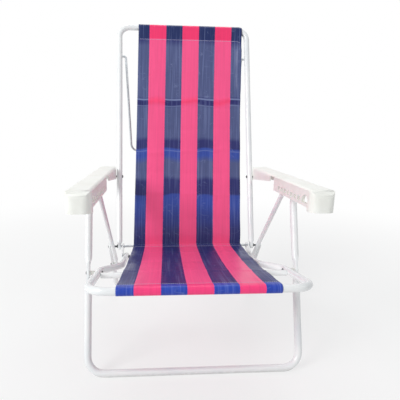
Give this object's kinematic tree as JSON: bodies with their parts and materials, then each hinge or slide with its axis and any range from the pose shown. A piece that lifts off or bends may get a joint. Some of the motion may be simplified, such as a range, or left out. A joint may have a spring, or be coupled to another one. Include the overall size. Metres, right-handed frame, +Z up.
{
  "type": "folding sling chair",
  "caption": "Low folding lawn chair with white bent-tube frame, striped cloth sling, plastic armrests with notched recline racks and a hanging rear bail.",
  "frame": {"origin": "bottom centre of the bounding box, on the floor", "axes": "+Z up, the chair faces -Y, +X to the right as seen from the front"},
  "size_m": [0.6176, 0.7536, 1.0243],
  "materials": {
    "white_tube": "glossy white paint on bent tube",
    "white_bush": "moulded white plastic",
    "arm_plastic": "off-white moulded plastic with a soft sheen",
    "rivet_steel": "dark dull rivet heads",
    "rod_steel": "pale grey rod",
    "sling_cloth": "woven cloth, navy and pink stripes"
  },
  "bodies": {
    "seat": {"seat_frame": "white_tube", "seat_crossbar": "white_tube", "seat_fabric": "sling_cloth", "seat_end_plug_left": "white_bush", "seat_end_plug_right": "white_bush", "hinge_bracket_left": "white_tube", "hinge_bracket_right": "white_tube", "bracket_rivet_1_left": "rivet_steel", "bracket_rivet_1_right": "rivet_steel", "bracket_rivet_2_left": "rivet_steel", "bracket_rivet_2_right": "rivet_steel", "rear_pivot_pin_left": "rivet_steel", "rear_pivot_pin_right": "rivet_steel", "front_pivot_bush_left": "white_bush", "front_pivot_bush_right": "white_bush"},
    "front_legs": {"front_leg_frame": "white_tube", "front_pivot_rivet_left": "rivet_steel", "front_pivot_rivet_right": "rivet_steel", "top_pin_left": "rivet_steel", "top_pin_right": "rivet_steel", "top_bush_left": "white_bush", "top_bush_right": "white_bush"},
    "braces": {"brace_left": "white_tube", "brace_right": "white_tube"},
    "rear_legs": {"rear_leg_frame": "white_tube", "rear_pivot_rivet_left": "rivet_steel", "rear_pivot_rivet_right": "rivet_steel", "brace_rivet_left": "rivet_steel", "brace_rivet_right": "rivet_steel", "brace_bush_left": "white_bush", "brace_bush_right": "white_bush"},
    "back_hinge": {"crease_rod": "rod_steel", "crease_rod_cap_left": "rivet_steel", "crease_rod_cap_right": "rivet_steel"},
    "backrest": {"backrest_frame": "white_tube", "back_fabric": "sling_cloth"},
    "arm_hinge": {"arm_rivet_left": "rivet_steel", "arm_rivet_right": "rivet_steel"},
    "arm_left": {"armrest_left": "arm_plastic"},
    "arm_right": {"armrest_right": "arm_plastic"},
    "bail": {"prop_bail": "rod_steel"}
  },
  "joints": [
    {"name": "fold", "type": "hinge", "parent": "seat", "child": "front_legs", "pos_m": [0, -0.16723, 0.26723], "axis": [1, 0, 0], "range_deg": [0, 84]},
    {"name": "brace_swing", "type": "hinge", "parent": "front_legs", "child": "braces", "pos_m": [0, -0.09293, 0.48874], "axis": [-1, 0, 0], "range_deg": [0, 50.75]},
    {"name": "rear_leg_swing", "type": "hinge", "parent": "braces", "child": "rear_legs", "pos_m": [0, 0.19493, 0.15841], "axis": [-1, 0, 0], "range_deg": [0, 155.95]},
    {"name": "back_fold", "type": "hinge", "parent": "seat", "child": "back_hinge", "pos_m": [0, 0.11646, 0.253], "axis": [1, 0, 0], "range_deg": [0, 94.7]},
    {"name": "recline", "type": "hinge", "parent": "back_hinge", "child": "backrest", "pos_m": [0, 0.11646, 0.253], "axis": [-1, 0, 0], "range_deg": [0, 60]},
    {"name": "arm_fold", "type": "hinge", "parent": "backrest", "child": "arm_hinge", "pos_m": [0, 0.1932, 0.48778], "axis": [-1, 0, 0], "range_deg": [0, 106.43]},
    {"name": "arm_swing_left", "type": "hinge", "parent": "arm_hinge", "child": "arm_left", "pos_m": [0, 0.1932, 0.48778], "axis": [1, 0, 0], "range_deg": [0, 37.92]},
    {"name": "arm_swing_right", "type": "hinge", "parent": "arm_hinge", "child": "arm_right", "pos_m": [0, 0.1932, 0.48778], "axis": [1, 0, 0], "range_deg": [0, 37.92]},
    {"name": "bail_swing", "type": "hinge", "parent": "backrest", "child": "bail", "pos_m": [0, 0.33021, 0.90696], "axis": [-1, 0, 0], "range_deg": [-90, 10]}
  ],
  "couplings": [
    {"joint": "brace_swing", "follows": "fold", "ratio": 0.60408},
    {"joint": "rear_leg_swing", "follows": "fold", "ratio": 1.8565},
    {"joint": "back_fold", "follows": "fold", "ratio": 1.1273},
    {"joint": "arm_fold", "follows": "fold", "ratio": 1.267},
    {"joint": "arm_swing_left", "follows": "recline", "ratio": 0.6319},
    {"joint": "arm_swing_right", "follows": "recline", "ratio": 0.6319}
  ]
}
